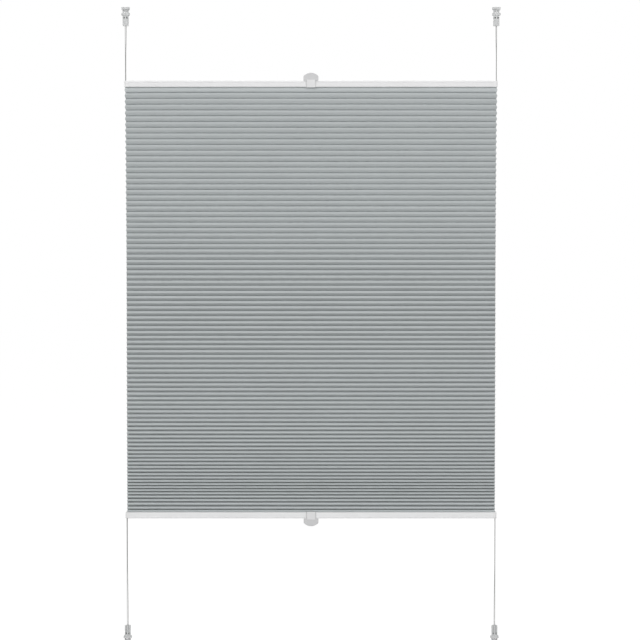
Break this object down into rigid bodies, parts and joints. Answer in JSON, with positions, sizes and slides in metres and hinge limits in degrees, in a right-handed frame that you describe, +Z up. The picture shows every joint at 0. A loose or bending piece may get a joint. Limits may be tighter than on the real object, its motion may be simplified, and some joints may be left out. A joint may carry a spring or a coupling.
{
  "type": "honeycomb pleated blind",
  "caption": "Honeycomb pleated blind between two white rails that slide on tensioned cords, with clip-on handles and four corner shoes that fix it to a window.",
  "frame": {"origin": "midway between the two top shoes, on their seats against the window frame", "axes": "+X along the rails to the right seen from the room, +Z up, the room on the -Y side"},
  "size_m": [0.8118, 0.0238, 1.371],
  "materials": {
    "white_rail": "satin white powder coat",
    "white_cap": "satin white moulding",
    "shoe_plastic": "cloudy clear moulding",
    "handle_plastic": "cloudy clear moulding",
    "grey_cloth": "matt non-woven cloth, foil-lined cells",
    "cord": "fine braided cord",
    "inner_plastic": "plain white moulding"
  },
  "bodies": {
    "fixings": {"top_left_shoe": "shoe_plastic", "top_right_shoe": "shoe_plastic", "bottom_left_shoe": "shoe_plastic", "bottom_right_shoe": "shoe_plastic", "left_cord": "cord", "right_cord": "cord", "left_cord_stop": "inner_plastic", "right_cord_stop": "inner_plastic"},
    "top_rail": {"top_rail": "white_rail", "top_left_cap": "white_cap", "top_right_cap": "white_cap", "top_cross_cords": "cord", "top_fabric_strip": "inner_plastic", "honeycomb_fabric": "grey_cloth"},
    "bottom_rail": {"bottom_rail": "white_rail", "bottom_left_cap": "white_cap", "bottom_right_cap": "white_cap", "bottom_cross_cords": "cord", "bottom_fabric_strip": "inner_plastic"},
    "top_handle": {"top_handle": "handle_plastic"},
    "bottom_handle": {"bottom_handle": "handle_plastic"}
  },
  "joints": [
    {"name": "top_rail_slide", "type": "slide", "parent": "fixings", "child": "top_rail", "axis": [0, 0, 1], "range_m": [-0.231, 0.115]},
    {"name": "bottom_rail_slide", "type": "slide", "parent": "top_rail", "child": "bottom_rail", "axis": [0, 0, 1], "range_m": [0, 0.827], "deforming": ["honeycomb_fabric"]},
    {"name": "top_handle_slide", "type": "slide", "parent": "top_rail", "child": "top_handle", "axis": [1, 0, 0], "range_m": [-0.35, 0.35]},
    {"name": "bottom_handle_slide", "type": "slide", "parent": "bottom_rail", "child": "bottom_handle", "axis": [1, 0, 0], "range_m": [-0.35, 0.35]}
  ]
}
